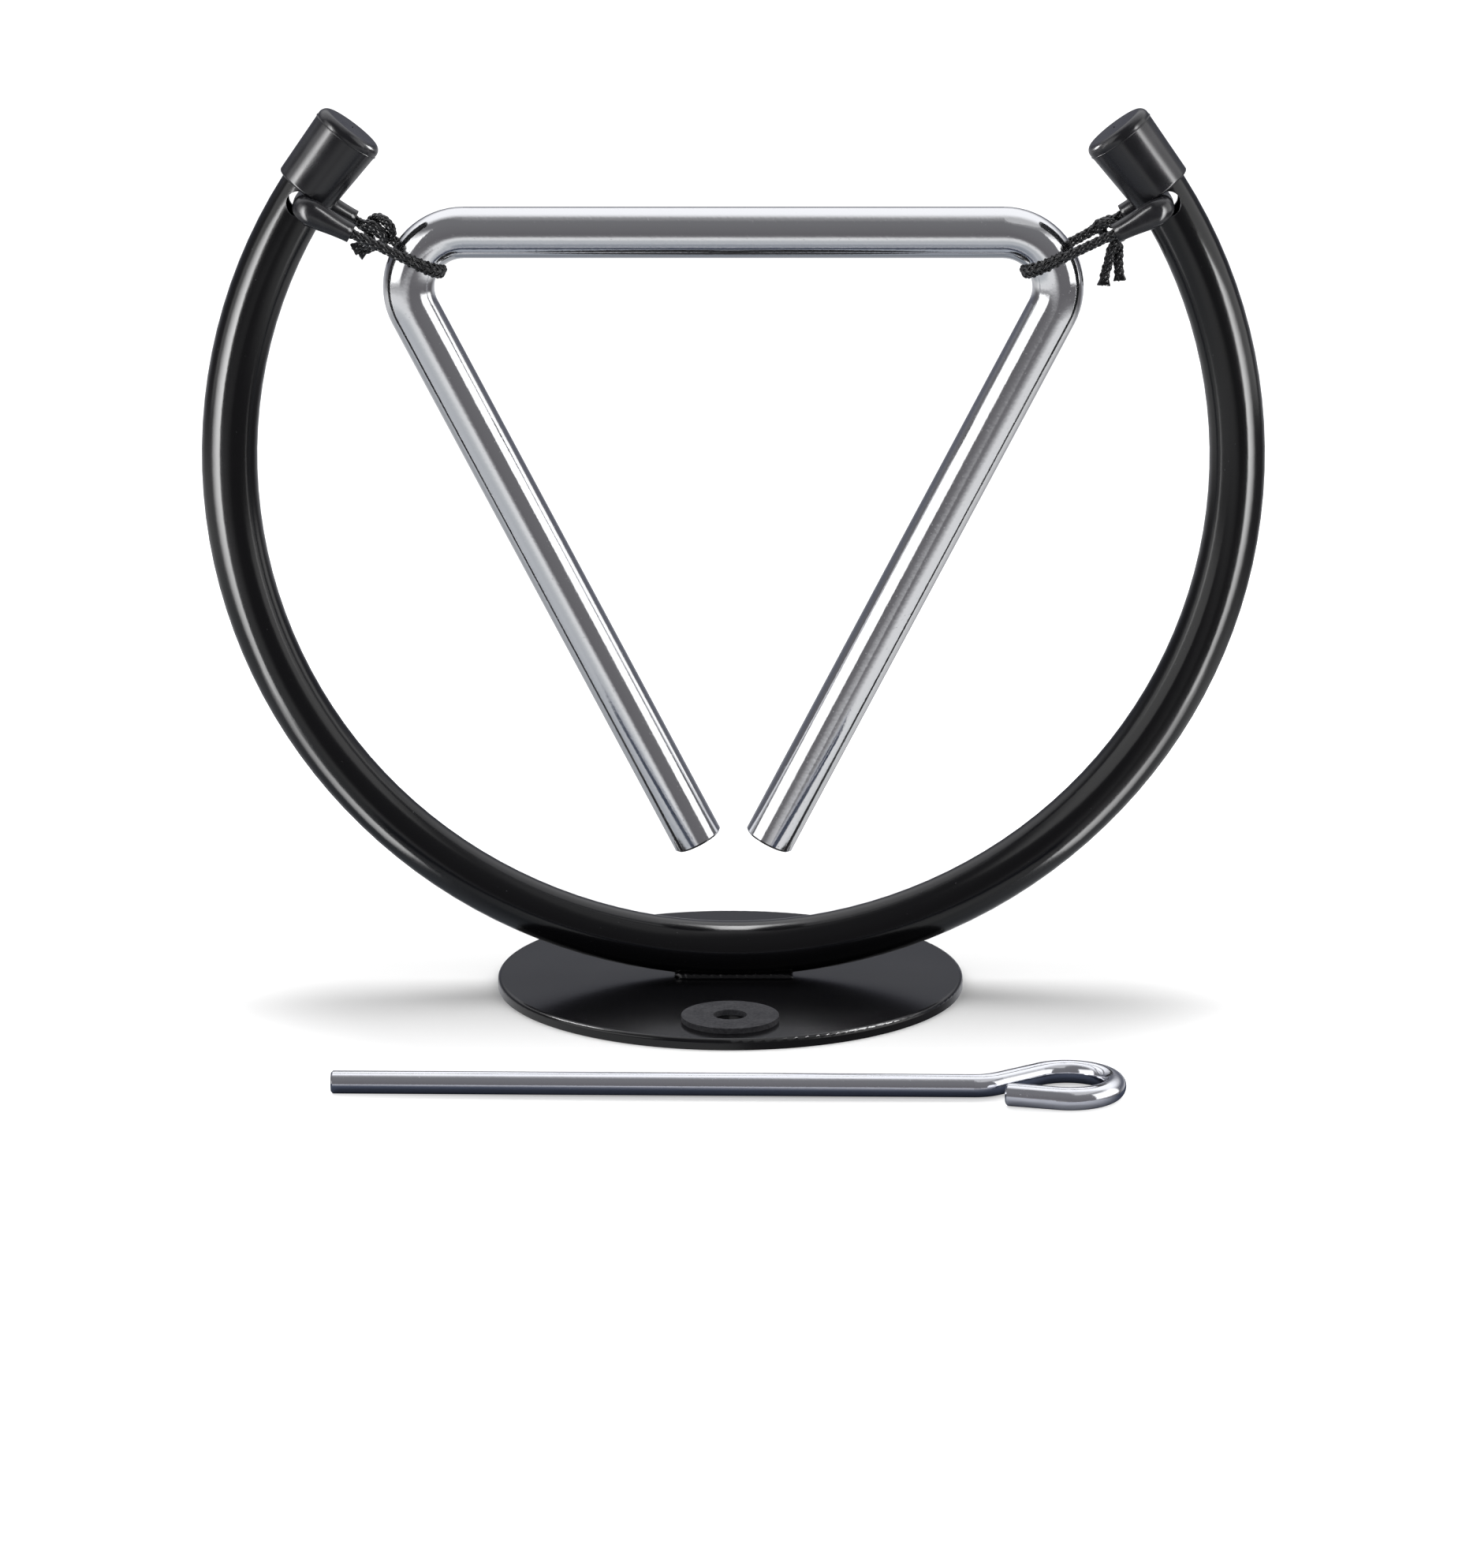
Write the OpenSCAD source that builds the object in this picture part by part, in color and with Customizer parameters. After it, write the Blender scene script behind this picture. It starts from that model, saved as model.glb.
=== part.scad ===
// A 15 cm triangle on its table stand. A steel tube bent into an open hoop is welded to a
// round plate. Two cord loops, led through soft sleeves in the tube's ends, carry the
// triangle, and the beater lies in front. Up is +Z and the front is -Y. The origin lies on
// the plate's underside, below the middle of the hoop.

/* [Hoop] */
// Outer diameter of the hoop's tube
tube_d = 12; // [11:0.2:14]
// Wall thickness of the tube
tube_wall = 1.2; // [0.8:0.1:2]
// Ring angle above the horizontal of the cross holes near the tube's ends
hole_angle = 31.8; // [29:0.2:35]

/* [Base plate] */
// Diameter of the base plate
base_d = 102.4; // [90:0.2:140]
// Thickness of the base plate
base_t = 2.4; // [1.6:0.1:3]
// Rounding of the plate's top rim
base_rim_r = 0.8; // [0.3:0.1:1.2]
// Distance of the plate's centre behind the hoop's plane
base_set_back = 1.6; // [0:0.1:4]
// Distance of the plate's centre to the left of the hoop's middle
base_shift = 0.7; // [0:0.1:2]
// Diameter of the hole for the rod of a cymbal stand
stand_hole_d = 7.3; // [6:0.1:9]
// Distance of that hole's axis from the plate's front edge
stand_hole_inset = 14.6; // [13:0.2:20]
// Radius of the fillet welds under the tube
weld_r = 1.7; // [1.5:0.1:2.4]
// Length of each weld
weld_len = 28; // [16:1:40]
// Step between the ripples of a weld
weld_pitch = 1.9; // [1.4:0.1:2.4]

/* [Washer] */
// Outer diameter of the rubber washer
washer_d = 21; // [16:0.5:24]
// Thickness of the washer
washer_t = 1.2; // [1:0.1:3]

/* [End caps] */
// Length of a cap
cap_len = 16.8; // [13:0.2:20]
// Thickness of a cap's closed end
cap_floor = 2.3; // [1.5:0.1:4]
// Thickness of a cap's wall at its mouth
cap_mouth_wall = 0.9; // [0.8:0.1:1.6]
// Thickness of a cap's wall at its closed end
cap_base_wall = 1.7; // [1.2:0.1:2.6]
// Rounding of a cap's mouth
cap_lip_r = 0.6; // [0.3:0.1:0.7]
// Rounding of a cap's closed end
cap_edge_r = 1.7; // [0.8:0.1:2.2]
// Distance of the moulding ridge from the closed end
cap_ridge_at = 2.4; // [2.2:0.1:4]
// Radius of the moulding ridge
cap_ridge_r = 0.15; // [0.1:0.05:0.3]
// Length of the air slit in a cap's closed end
vent_len = 1.6; // [1:0.1:3]
// Width of the air slit
vent_w = 0.25; // [0.2:0.05:0.5]

/* [Sleeves] */
// Diameter of the cross holes in the tube
hole_d = 5.6; // [5.2:0.1:6.6]
// Distance along the tube from a cap's mouth to the hole's axis
hole_from_cap = 2.55; // [2.55:0.05:4]
// Outer diameter of the sleeve's tubing
sleeve_d = 4.2; // [3.8:0.1:4.6]
// Bore of the tubing
sleeve_bore = 2.9; // [2.5:0.1:3.2]
// Radius of the sleeve's bends
sleeve_bend_r = 2.9; // [2.8:0.1:3.4]
// How far a bend's sides swell where the tubing is pinched
sleeve_swell = 0.4; // [0:0.05:0.6]
// Gap between a sleeve's leg and the tube's side
sleeve_stand_off = 0.4; // [0.3:0.1:1]
// Reach of the front leg of a sleeve, from the axis of its middle
front_reach = 12; // [9:0.2:13]
// Reach of the left sleeve's rear leg
left_rear_reach = 11.6; // [8:0.2:13]
// Reach of the right sleeve's rear leg
right_rear_reach = 9.2; // [8:0.2:13]

/* [Cords] */
// Diameter of the cord
cord_d = 2.2; // [1.6:0.1:2.3]
// Angle of the taut loops below the horizontal
cord_tilt = 27.2; // [22:0.2:34]
// Length of a taut loop from its sleeve's middle to the axis of the triangle's rod
loop_reach = 26.9; // [26:0.1:34]
// Distance of the left knot's middle beyond the rear mouth
left_knot_at = 5.4; // [3.6:0.1:6]
// Distance of the right knot's middle beyond the rear mouth
right_knot_at = 2.8; // [2.6:0.1:6]

/* [Triangle] */
// Overall width of the triangle
triangle_w = 150; // [125:1:200]
// Diameter of its rod
rod_d = 11; // [8:0.5:12]
// Centreline radius of its two bends
bend_r = 11.8; // [10:0.2:18]
// Angle of each leg from the vertical
leg_angle = 27.35; // [26:0.05:30]
// Gap between the ends of the legs
end_gap = 5.4; // [4.5:0.1:12]
// Chamfer of the rod's ends
end_chamfer = 0.5; // [0.2:0.1:1]

/* [Beater] */
// Overall length of the beater
beater_len = 165; // [140:1:200]
// Diameter of its rod
beater_d = 4.8; // [4:0.2:6]
// Distance of the beater's axis in front of the plate's edge
beater_gap = 30.4; // [22:0.2:50]
// Distance of the beater's middle to the left of the hoop's middle
beater_shift = 1; // [0:0.5:10]
// Angle of the beater to the hoop's plane
beater_turn = 1.15; // [0:0.05:5]
// Centreline radius of the eye's nose
eye_r = 9.6; // [8:0.1:12]
// Offset of the nose's centre from the rod's axis
eye_offset = 0.95; // [0:0.05:2]
// Angle at which the rod leads into the eye
eye_lead_angle = 38; // [32:1:48]
// Centreline radius of the bend that leads into the eye
eye_lead_r = 8; // [6:0.5:10]
// Angle at which the wire closes back to the rod
eye_close_angle = 14; // [12:0.5:18]
// Length of the straight end of the wire
tail_len = 10.9; // [8:0.1:11]
// Chamfer of the beater's ends
beater_chamfer = 0.4; // [0.2:0.1:0.8]

/* [Hidden] */
$fn = 96;
// Clearances: soft on steel, the cord round the rod, and a weld against the tube
soft_fit = 0.03;
cord_fit = 0.12;
weld_fit = 0.07;
// Overrun of every cut, in length and in ring angle
cut = 1;
cut_angle = 1;
// Lap of a rod's straight lengths into its bends, and how far the bends stand proud
lap = 0.3;
proud = 0.01;
// Sides of the swept sleeve, of the swept cord and of a weld's ripple
sleeve_sides = 20;
cord_sides = 8;
weld_sides = 20;
// Ring steps in a sleeve's bend and in the cord's wrap
bend_steps = 6;
wrap_steps = 14;
// Place of a weld's middle between the tube's foot and the point over its own height
weld_spread_share = 0.6;

// Outer diameters of a cap at its mouth and at its closed end
cap_mouth_d = tube_d + 2 * cap_mouth_wall;
cap_base_d = tube_d + 2 * cap_base_wall;
// Distance of the stand's hole in front of the plate's centre
stand_hole_y = base_d / 2 - stand_hole_inset;

// The triangle's bends: their arc centres, and the point where a loop holds a bend
arc_x = triangle_w / 2 - bend_r - rod_d / 2;
hold_angle = (90 - leg_angle) / 2;
hold_x = arc_x + bend_r * cos(hold_angle);

// The sleeve's middle lies against the hole's wall on the side that the cord pulls to,
// and the hoop is as large as the triangle with its two taut loops needs
seat_shift = (hole_d - sleeve_d) / 2 - soft_fit;
seat_x = hold_x + loop_reach * cos(cord_tilt);
hoop_r = (seat_x + seat_shift * cos(cord_tilt)) / cos(hole_angle);
hoop_z = base_t + tube_d / 2 + hoop_r;
seat_z = hoop_z + hoop_r * sin(hole_angle) - seat_shift * sin(cord_tilt);

// Degrees of ring angle that one millimetre of the hoop's centreline spans
ring_rate = 180 / PI / hoop_r;
cap_mouth_angle = hole_angle + hole_from_cap * ring_rate;
cap_mid_angle = cap_mouth_angle + cap_len / 2 * ring_rate;
hoop_end_angle = cap_mouth_angle + (cap_len - cap_floor) * ring_rate;
// Half spacing of the sleeve's legs
leg_y = tube_d / 2 + sleeve_d / 2 + sleeve_stand_off;

// The triangle's height, and its legs
hold_z = seat_z - loop_reach * sin(cord_tilt);
arc_z = hold_z - bend_r * sin(hold_angle);
bar_z = arc_z + bend_r;
leg_top_x = arc_x + bend_r * cos(leg_angle);
leg_top_z = arc_z - bend_r * sin(leg_angle);
leg_end_x = end_gap / 2 + rod_d / 2 * cos(leg_angle);
leg_len = (leg_top_x - leg_end_x) / sin(leg_angle);

// The cord's loop round the rod, where the pull flattens the braid
flat_share = 0.62;
spread_share = 1.15;
lead_share = 1.2;
wrap_r = rod_d / 2 + cord_fit + cord_d / 2 * flat_share;

// The beater: the eye's straight lead-in, its nose, and the straight rod behind it
lead_len = (eye_offset + eye_r * cos(eye_lead_angle) - eye_lead_r * (1 - cos(eye_lead_angle)))
    / sin(eye_lead_angle);
nose_from_bend = (eye_lead_r + eye_r) * sin(eye_lead_angle) + lead_len * cos(eye_lead_angle);
shaft_len = beater_len - beater_d / 2 - eye_r - nose_from_bend;

// Routes of each knot's two ends from the strand through the hitch to the tail's tip,
// in cord diameters: towards the triangle, to the rear, and up
left_knot_shares = [
    [[1.3, 0.1, -0.5], [1.5, -0.7, 0.2], [1, -0.8, 1.1], [0.1, 0, 1.4], [-0.6, 0.8, 0.9],
        [-0.9, 0.9, -0.1], [-0.6, 0.2, -0.9], [-1, -0.4, -1.1], [-1.6, -0.5, -1.3],
        [-2.2, -0.4, -1.6]],
    [[-1.3, 0.1, 0.5], [-1, -0.8, 0.9], [-0.1, -1, 0.7], [0.6, -0.9, 0], [0.7, -0.4, -0.8],
        [0.2, 0.3, -1.3], [-0.6, 0.4, -1.6], [-1.2, 0.2, -1.8], [-1.8, 0.1, -2.2]]
];
right_knot_shares = [
    [[1.3, 0.1, -0.5], [1.1, -0.7, -0.1], [0.2, -0.9, 0], [-0.8, -0.8, -0.4],
        [-1.2, -0.5, -1.2], [-0.6, -0.3, -1.9], [-0.1, -0.5, -2.7], [0.2, -0.5, -4],
        [0.5, -0.4, -5.2], [0.6, -0.4, -6.2]],
    [[-0.9, 0.6, -0.2], [0, 1, 0], [0.8, 0.7, -0.5], [0.6, 0, -1.3], [-0.3, -0.1, -1.8],
        [-0.8, 0.1, -2.6], [-0.8, 0, -3.8], [-0.9, 0.1, -5], [-1, 0.1, -5.8]]
];
// Width of a tail's melted end against the cord
flare_share = 1.3;

function arc_points(centre, r, from, to, steps) =
    [for (i = [0 : steps]) let (a = from + (to - from) * i / steps)
        centre + r * [cos(a), sin(a)]];

function unit(v) = v / norm(v);

// Route of a sleeve's centreline: reach along x, and the tube's crossing along y
function sleeve_route(rear_reach) = concat(
    [[rear_reach, leg_y], [(rear_reach + sleeve_bend_r) / 2, leg_y]],
    arc_points([sleeve_bend_r, leg_y - sleeve_bend_r], sleeve_bend_r, 90, 180, bend_steps),
    [[0, 0]],
    arc_points([sleeve_bend_r, sleeve_bend_r - leg_y], sleeve_bend_r, 180, 270, bend_steps),
    [[(front_reach + sleeve_bend_r) / 2, -leg_y], [front_reach, -leg_y]]);

// Closed route of a cord: round the rod's inside, back to the rear leg and through,
// with a point on each strand where the cord is round again
taper = atan((leg_y - wrap_r) / (loop_reach - front_reach));
function cord_route(rear_reach) = let (
    wrap = arc_points([loop_reach, 0], wrap_r, -90 - taper, 90 + taper, wrap_steps),
    lead = cord_d * lead_share, last = wrap[wrap_steps])
    concat(wrap, [last + lead * unit([rear_reach, leg_y] - last)], sleeve_route(rear_reach),
        [wrap[0] + lead * unit([front_reach, -leg_y] - wrap[0])]);

// Direction of a route at point i, and a ring round it in the route's plane
function tangent(route, i, closed) = let (n = len(route))
    unit(route[closed ? (i + 1) % n : min(i + 1, n - 1)]
        - route[closed ? (i + n - 1) % n : max(i - 1, 0)]);
function ring(p, t, wide, deep, sides) =
    [for (j = [0 : sides - 1]) let (a = 360 * j / sides)
        [p.x - t.y * deep * cos(a), p.y + t.x * deep * cos(a), wide * sin(a)]];

// Side direction at each point of a route in space, carried along without a twist
function side_at(t, last) = unit(last - (last * t) * t);
function sides_along(route) = let (start = tangent(route, 0, false))
    [for (i = 0, u = unit(cross(start, [0, 0, 1])); i < len(route);
        i = i + 1, u = side_at(tangent(route, i, false), u)) u];

// Triangles of the skin between rings, joined end to start where closed
function skin(rings, sides, closed, flip, first) =
    [for (i = [0 : rings - (closed ? 1 : 2)]) for (j = [0 : sides - 1]) let (
        a = first + i * sides + j, b = first + i * sides + (j + 1) % sides,
        c = first + (i + 1) % rings * sides + j,
        d = first + (i + 1) % rings * sides + (j + 1) % sides)
        each flip ? [[a, b, c], [b, d, c]] : [[a, c, b], [b, c, d]]];

// How far the pinch reaches at a point: full at the middle of a bend, none a bend away
function pinch(p) = let (
    k = sleeve_bend_r * (1 - cos(45)),
    away = norm([p.x - k, abs(p.y) - leg_y + k]))
    away > 3 * sleeve_bend_r ? 0 : pow(cos(30 * away / sleeve_bend_r), 2);

// A tube with a bore along a route in the plane, swollen where it is pinched
module pinched_tube(route, outer, bore) {
    n = len(route);
    s = sleeve_sides;
    rings = [for (d = [outer, bore]) for (i = [0 : n - 1]) let (k = pinch(route[i]))
        ring(route[i], tangent(route, i, false), d / 2 + sleeve_swell * k,
            d / 2 - sleeve_swell / 2 * k, s)];
    ends = [for (i = [0, n - 1]) for (j = [0 : s - 1]) let (
        a = i * s + j, b = i * s + (j + 1) % s, c = a + n * s, d = b + n * s)
        each i == 0 ? [[a, b, c], [b, d, c]] : [[a, c, b], [b, c, d]]];
    polyhedron(points = [for (r = rings) each r],
        faces = concat(skin(n, s, false, false, 0), skin(n, s, false, true, n * s), ends));
}

// How flat the cord lies at a point of its route: flat on the rod, else round
function flatness(i) = i > wrap_steps ? 0 : 1;

// A cord of eight sides along a closed route in the plane
module looped_cord(route) {
    n = len(route);
    polyhedron(
        points = [for (i = [0 : n - 1]) let (f = flatness(i))
            each ring(route[i], tangent(route, i, true),
                cord_d / 2 * (1 + (spread_share - 1) * f),
                cord_d / 2 * (1 + (flat_share - 1) * f), cord_sides)],
        faces = skin(n, cord_sides, true, false, 0));
}

// A cord along an open route in space, with a melted end that is a little wider
module free_cord(route) {
    n = len(route);
    s = cord_sides;
    across = sides_along(route);
    pts = [for (i = [0 : n - 1]) let (
        u = across[i], v = cross(tangent(route, i, false), u),
        r = cord_d / 2 * (i == n - 1 ? flare_share : 1))
        for (j = [0 : s - 1]) let (a = 360 * j / s) route[i] + r * (cos(a) * u + sin(a) * v)];
    polyhedron(points = pts, faces = concat(
        skin(n, s, false, true, 0),
        [for (j = [1 : s - 2]) [0, j, j + 1]],
        [for (j = [1 : s - 2]) [(n - 1) * s, (n - 1) * s + j + 1, (n - 1) * s + j]]));
}

// Moves the plane of a loop's route to its place on the left side
module in_loop_plane() {
    translate([-seat_x, 0, seat_z]) rotate([0, cord_tilt, 0]) children();
}

// Point of a loop's plane in the object's frame, on the left side
function from_loop(s, y) =
    [-seat_x + s * cos(cord_tilt), y, seat_z - s * sin(cord_tilt)];

// Distance of the rear strand behind the hoop's plane at a given reach
function strand_y(s, rear_reach) = let (
    a = loop_reach + wrap_r * cos(90 + taper), b = wrap_r * sin(90 + taper))
    leg_y + (b - leg_y) * (s - rear_reach) / (a - rear_reach);

// The hoop's tube between two ring angles, as a solid bar of the given diameter
module hoop_bar(d, from, to) {
    translate([0, 0, hoop_z]) rotate([90, 0, 0]) rotate([0, 0, from])
        rotate_extrude(angle = to - from) translate([hoop_r, 0]) circle(d = d);
}

module base_plate() {
    color("#17181b") translate([-base_shift, base_set_back, 0]) difference() {
        rotate_extrude() {
            square([base_d / 2, base_t - base_rim_r]);
            square([base_d / 2 - base_rim_r, base_t]);
            translate([base_d / 2 - base_rim_r, base_t - base_rim_r]) circle(r = base_rim_r);
        }
        translate([0, -stand_hole_y, -cut]) cylinder(d = stand_hole_d, h = base_t + 2 * cut);
        translate([0, 0, -base_rim_r - cut])
            cylinder(r = base_d, h = base_rim_r + cut);
    }
}

// A rippled fillet weld in the groove between the tube and the plate
module weld(side) {
    weld_y = sqrt(pow(tube_d / 2, 2) - pow(tube_d / 2 - weld_r, 2)) * weld_spread_share;
    ripples = floor((weld_len - 2 * weld_r) / weld_pitch);
    weld_angle = weld_len * ring_rate;
    color("#131416") difference() {
        for (i = [0 : ripples])
            translate([(i - ripples / 2) * weld_pitch, side * weld_y, base_t])
                sphere(r = weld_r, $fn = weld_sides);
        translate([-weld_len, -tube_d, base_t - weld_r - cut])
            cube([2 * weld_len, 2 * tube_d, weld_r + cut]);
        hoop_bar(tube_d + 2 * weld_fit, 270 - weld_angle, 270 + weld_angle);
    }
}

module front_weld() {
    weld(-1);
}

module rear_weld() {
    weld(1);
}

module mount_washer() {
    color("#3a3b3d") translate([-base_shift, base_set_back - stand_hole_y, base_t])
        difference() {
            cylinder(d = washer_d, h = washer_t);
            translate([0, 0, -cut]) cylinder(d = stand_hole_d, h = washer_t + 2 * cut);
        }
}

module frame_tube() {
    color("#101114") difference() {
        hoop_bar(tube_d, 180 - hoop_end_angle, 360 + hoop_end_angle);
        hoop_bar(tube_d - 2 * tube_wall, 180 - hoop_end_angle - cut_angle,
            360 + hoop_end_angle + cut_angle);
        for (side = [-1, 1])
            translate([side * hoop_r * cos(hole_angle), 0, hoop_z + hoop_r * sin(hole_angle)])
                rotate([90, 0, 0]) cylinder(d = hole_d, h = tube_d + 2 * cut, center = true);
    }
}

// Half outline of a cap, from its mouth at the bottom to its closed end at the top
module cap_profile() {
    lean = atan((cap_base_d - cap_mouth_d) / 2 / cap_len);
    lip_x = cap_mouth_d / 2 - cap_lip_r * (1 - sin(lean)) / cos(lean);
    edge_x = cap_base_d / 2 - cap_edge_r * (1 + sin(lean)) / cos(lean);
    edge_y = cap_len - cap_edge_r;
    polygon([
        [0, 0], [lip_x, 0], [lip_x, cap_lip_r],
        [lip_x + cap_lip_r * cos(lean), cap_lip_r * (1 - sin(lean))],
        [edge_x + cap_edge_r * cos(lean), edge_y - cap_edge_r * sin(lean)],
        [edge_x, edge_y], [edge_x, cap_len], [0, cap_len]]);
    translate([lip_x, cap_lip_r]) circle(r = cap_lip_r);
    translate([edge_x, edge_y]) circle(r = cap_edge_r);
    translate([cap_base_d / 2 - cap_ridge_at * tan(lean), cap_len - cap_ridge_at])
        circle(r = cap_ridge_r);
}

// A moulded rubber tip on the tube's end, drawn on the right side
module cap() {
    color("#26272a") difference() {
        translate([hoop_r * cos(cap_mid_angle), 0, hoop_z + hoop_r * sin(cap_mid_angle)])
            rotate([0, -cap_mid_angle, 0]) translate([0, 0, -cap_len / 2]) difference() {
                rotate_extrude() cap_profile();
                translate([0, 0, cap_len])
                    cube([vent_w, vent_len, cap_edge_r], center = true);
            }
        hoop_bar(tube_d + 2 * soft_fit, hole_angle - cap_len * ring_rate, hoop_end_angle);
    }
}

module left_cap() {
    mirror([1, 0, 0]) cap();
}

module right_cap() {
    cap();
}

module left_sleeve() {
    color("#2b2c30") in_loop_plane()
        pinched_tube(sleeve_route(left_rear_reach), sleeve_d, sleeve_bore);
}

module right_sleeve() {
    color("#2b2c30") mirror([1, 0, 0]) in_loop_plane()
        pinched_tube(sleeve_route(right_rear_reach), sleeve_d, sleeve_bore);
}

// A knot on the rear strand: both ends of the cord, hitched over it and hanging down
module knot(rear_reach, at, ends) {
    mid = from_loop(rear_reach + at, strand_y(rear_reach + at, rear_reach));
    for (end = ends) free_cord([for (q = end) mid + cord_d * q]);
}

module left_cord() {
    color("#0d0d0f") {
        in_loop_plane() looped_cord(cord_route(left_rear_reach));
        knot(left_rear_reach, left_knot_at, left_knot_shares);
    }
}

module right_cord() {
    color("#0d0d0f") mirror([1, 0, 0]) {
        in_loop_plane() looped_cord(cord_route(right_rear_reach));
        knot(right_rear_reach, right_knot_at, right_knot_shares);
    }
}

// A straight rod along +X, lapped a little into the bend that it leaves
module straight_rod(d, len) {
    rotate([0, 90, 0]) translate([0, 0, -lap]) cylinder(d = d, h = len + lap);
}

// A straight rod along +X from the origin, with its far end chamfered
module rod_end(d, len, chamfer) {
    straight_rod(d, len - chamfer);
    translate([len - chamfer, 0, 0]) rotate([0, 90, 0])
        cylinder(d1 = d, d2 = d - 2 * chamfer, h = chamfer);
}

// A bend of a rod about the Z axis, from one angle to another
module rod_bend(d, r, from, to) {
    rotate([0, 0, from]) rotate_extrude(angle = to - from)
        translate([r, 0]) circle(d = d + 2 * proud);
}

// One bend and leg of the triangle, on the right side
module bend_and_leg() {
    translate([arc_x, 0, arc_z]) rotate([90, 0, 0]) rod_bend(rod_d, bend_r, -leg_angle, 90);
    translate([leg_top_x, 0, leg_top_z]) rotate([0, 90 + leg_angle, 0])
        rod_end(rod_d, leg_len, end_chamfer);
}

module triangle_rod() {
    color("#c9cbd0") {
        translate([-arc_x, 0, bar_z]) straight_rod(rod_d, 2 * arc_x + lap);
        bend_and_leg();
        mirror([1, 0, 0]) bend_and_leg();
    }
}

module beater() {
    color("#c4c8d2")
        translate([-beater_shift - beater_len / 2, base_set_back - base_d / 2 - beater_gap,
            beater_d / 2 + proud])
        rotate([0, 0, -beater_turn]) {
            translate([shaft_len, 0, 0]) rotate([0, 0, 180])
                rod_end(beater_d, shaft_len, beater_chamfer);
            translate([shaft_len, eye_lead_r, 0])
                rod_bend(beater_d, eye_lead_r, -90, eye_lead_angle - 90);
            translate([shaft_len + eye_lead_r * sin(eye_lead_angle),
                eye_lead_r * (1 - cos(eye_lead_angle)), 0])
                rotate([0, 0, eye_lead_angle]) straight_rod(beater_d, lead_len + lap);
            translate([shaft_len + nose_from_bend, eye_offset, 0])
                rod_bend(beater_d, eye_r, -90 - eye_close_angle, 90 + eye_lead_angle);
            translate([shaft_len + nose_from_bend - eye_r * sin(eye_close_angle),
                eye_offset - eye_r * cos(eye_close_angle), 0])
                rotate([0, 0, 180 - eye_close_angle])
                rod_end(beater_d, tail_len, beater_chamfer);
        }
}

base_plate();
front_weld();
rear_weld();
mount_washer();
frame_tube();
left_cap();
right_cap();
left_sleeve();
right_sleeve();
left_cord();
right_cord();
triangle_rod();
beater();
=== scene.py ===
import math
import bpy
import bmesh
from mathutils import Matrix, Quaternion, Vector


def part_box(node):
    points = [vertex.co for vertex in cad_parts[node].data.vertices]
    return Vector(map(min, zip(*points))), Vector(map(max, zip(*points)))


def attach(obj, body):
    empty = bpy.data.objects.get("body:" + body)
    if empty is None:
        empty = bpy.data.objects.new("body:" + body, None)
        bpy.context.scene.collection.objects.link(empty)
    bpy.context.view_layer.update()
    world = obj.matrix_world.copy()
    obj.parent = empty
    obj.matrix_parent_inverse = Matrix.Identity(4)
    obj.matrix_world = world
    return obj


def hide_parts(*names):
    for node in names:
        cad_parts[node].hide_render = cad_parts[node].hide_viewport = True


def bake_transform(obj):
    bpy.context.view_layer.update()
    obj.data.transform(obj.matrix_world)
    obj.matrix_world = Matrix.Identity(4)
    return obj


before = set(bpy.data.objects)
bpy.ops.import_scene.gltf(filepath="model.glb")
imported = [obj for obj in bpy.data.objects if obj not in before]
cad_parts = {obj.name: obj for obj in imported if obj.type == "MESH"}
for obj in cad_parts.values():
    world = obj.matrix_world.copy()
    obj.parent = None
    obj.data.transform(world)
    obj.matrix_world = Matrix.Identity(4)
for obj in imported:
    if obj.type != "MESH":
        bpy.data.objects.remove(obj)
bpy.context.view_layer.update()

scene = bpy.context.scene
scene.view_settings.view_transform = "Standard"

# Camera: a long lens from the front, a little above the hoop's top, looking down onto the
# plate as in the photograph.
lens = bpy.data.cameras.new("camera")
lens.sensor_width = 36
lens.lens = 141.08
lens.clip_start = 0.05
lens.clip_end = 30
camera = bpy.data.objects.new("camera", lens)
camera.location = (0.0011, -1.3, 0.3802)
camera.rotation_euler = (math.radians(75.57), 0, 0)
scene.collection.objects.link(camera)
scene.camera = camera


# Cords: each is one length of black braided polyester, eight strands over a core. It goes
# through the sleeve and round the corner of the triangle, is hitched to its own rear strand,
# and its two cut ends are melted so that they don't fray. Both loops are closed and held by
# the sleeve and the rod all the way.
def node(tree, kind, links=None, **settings):
    """Adds a node; links maps an input to a value or to another node's output."""
    made = tree.nodes.new(kind)
    for key, value in settings.items():
        setattr(made, key, value)
    for key, value in (links or {}).items():
        if isinstance(value, bpy.types.NodeSocket):
            tree.links.new(value, made.inputs[key])
        else:
            made.inputs[key].default_value = value
    return made


def calc(tree, operation, a, b=0.0, c=0.0):
    """One step of arithmetic."""
    return node(tree, "ShaderNodeMath", {0: a, 1: b, 2: c}, operation=operation).outputs[0]


def vector(tree, operation, a, b=(0, 0, 0), scale=1.0):
    """One step of vector arithmetic."""
    return node(tree, "ShaderNodeVectorMath", {0: a, 1: b, 3: scale},
                operation=operation).outputs[0]


def material(name, colour, roughness, **sockets):
    """A material with its constants set straight on the shader's sockets."""
    made = bpy.data.materials.new(name)
    made.use_nodes = True
    shader = made.node_tree.nodes["Principled BSDF"]
    shader.inputs["Base Color"].default_value = (*colour, 1)
    shader.inputs["Roughness"].default_value = roughness
    for key, value in sockets.items():
        shader.inputs[key.replace("_", " ")].default_value = value
    return made, made.node_tree, shader


def noise(tree, scale, detail=2.0, stretch=(1, 1, 1), where=None):
    """Noise over the object's own coordinates, in features per metre."""
    if where is None:
        where = node(tree, "ShaderNodeTexCoord").outputs["Object"]
    placed = vector(tree, "MULTIPLY", where, stretch)
    return node(tree, "ShaderNodeTexNoise",
                {"Vector": placed, "Scale": scale, "Detail": detail}).outputs["Fac"]


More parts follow.
